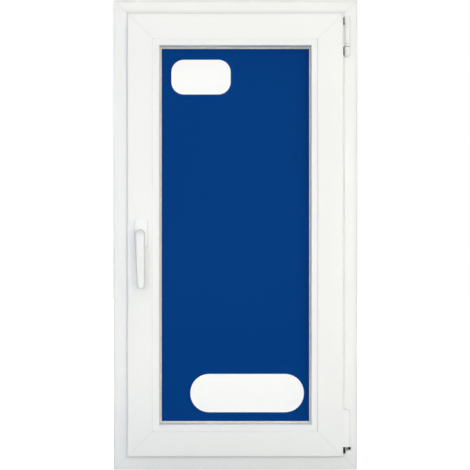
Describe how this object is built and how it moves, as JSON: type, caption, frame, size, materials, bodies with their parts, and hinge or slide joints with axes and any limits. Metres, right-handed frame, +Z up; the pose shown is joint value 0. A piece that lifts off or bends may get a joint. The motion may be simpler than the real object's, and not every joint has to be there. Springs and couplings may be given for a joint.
{
  "type": "tilt and turn window",
  "caption": "White plastic tilt and turn window: mitred frame and sash, glazing beads, double glazing, lever handle and exposed corner hinges.",
  "frame": {"origin": "centre of the flat underside of the frame's sill, at half its width and half its depth", "axes": "+X to the right as seen from the room, towards the hinges; +Y from the room to the outside; +Z up"},
  "size_m": [0.602, 0.1395, 1.16],
  "materials": {
    "pvc_white": "satin",
    "seal_grey": "matt",
    "glass_blue": "gloss",
    "spacer_metal": "satin",
    "handle_white": "satin",
    "hinge_white": "satin",
    "hinge_steel": "brushed",
    "adjuster_black": "satin",
    "pad_grey": "matt",
    "pad_black": "matt",
    "cap_white": "matt",
    "label_white": "matt"
  },
  "bodies": {
    "window": {"frame_sill": "pvc_white", "frame_head": "pvc_white", "frame_lock_jamb": "pvc_white", "frame_hinge_jamb": "pvc_white", "sash_bottom_rail": "pvc_white", "sash_top_rail": "pvc_white", "sash_lock_stile": "pvc_white", "sash_hinge_stile": "pvc_white", "bead_bottom": "pvc_white", "bead_top": "pvc_white", "bead_left": "pvc_white", "bead_right": "pvc_white", "glass_pane_room": "glass_blue", "glass_pane_outside": "glass_blue", "glass_spacer": "spacer_metal", "glass_seal_room": "seal_grey", "glass_seal_outside": "seal_grey", "overlap_seal": "seal_grey", "stop_seal": "seal_grey", "handle_rosette": "handle_white", "handle_collar": "handle_white", "drain_cap_left": "cap_white", "drain_cap_right": "cap_white", "glass_label_upper": "label_white", "glass_label_lower": "label_white", "top_hinge_upper_knuckle": "hinge_white", "top_hinge_lower_knuckle": "hinge_white", "top_hinge_sleeve": "hinge_white", "top_hinge_ring": "hinge_white", "top_hinge_pin": "hinge_steel", "bottom_hinge_pivot_block": "hinge_white", "bottom_hinge_pin": "hinge_steel", "bottom_hinge_cover": "hinge_white", "bottom_hinge_adjuster": "adjuster_black", "top_hinge_pad": "pad_grey", "bottom_hinge_pad": "pad_black"},
    "handle": {"handle_lever": "handle_white"}
  },
  "joints": [
    {"name": "handle_turn", "type": "hinge", "parent": "window", "child": "handle", "pos_m": [-0.23, -0.053, 0.5825], "axis": [0, -1, 0], "range_deg": [0, 180]}
  ]
}
